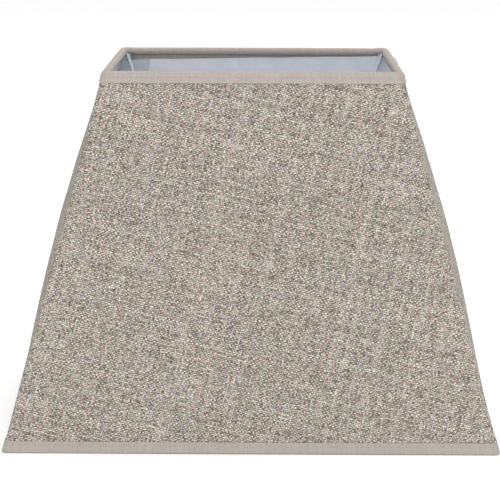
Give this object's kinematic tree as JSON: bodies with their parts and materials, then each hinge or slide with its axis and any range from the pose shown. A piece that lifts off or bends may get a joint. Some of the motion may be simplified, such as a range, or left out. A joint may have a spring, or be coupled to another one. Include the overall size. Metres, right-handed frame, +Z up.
{
  "type": "lamp shade",
  "caption": "Square tapered hard-back lamp shade in coarse taupe linen, taped at both rims over wire rings, with a dropped wire spider and a harp washer.",
  "frame": {"origin": "middle of the square base, on the plane the bottom edge stands on", "axes": "+Z up through the washer's hole, -Y out of the front panel, +X to the right of it; the glued lap is at the back left corner"},
  "size_m": [0.3308, 0.3308, 0.248],
  "materials": {
    "linen": "coarse plain weave, matt",
    "backing": "satin, faintly mottled",
    "tape": "fine cotton, matt",
    "wire": "bright drawn wire",
    "plated_steel": "zinc plated"
  },
  "bodies": {
    "root": {"linen_cover": "linen", "plastic_backing": "backing", "top_tape": "tape", "bottom_tape": "tape", "top_ring": "wire", "bottom_ring": "wire", "spider_washer": "plated_steel", "spider_arm_front_right": "plated_steel", "spider_arm_back_right": "plated_steel", "spider_arm_back_left": "plated_steel", "spider_arm_front_left": "plated_steel"}
  },
  "joints": []
}
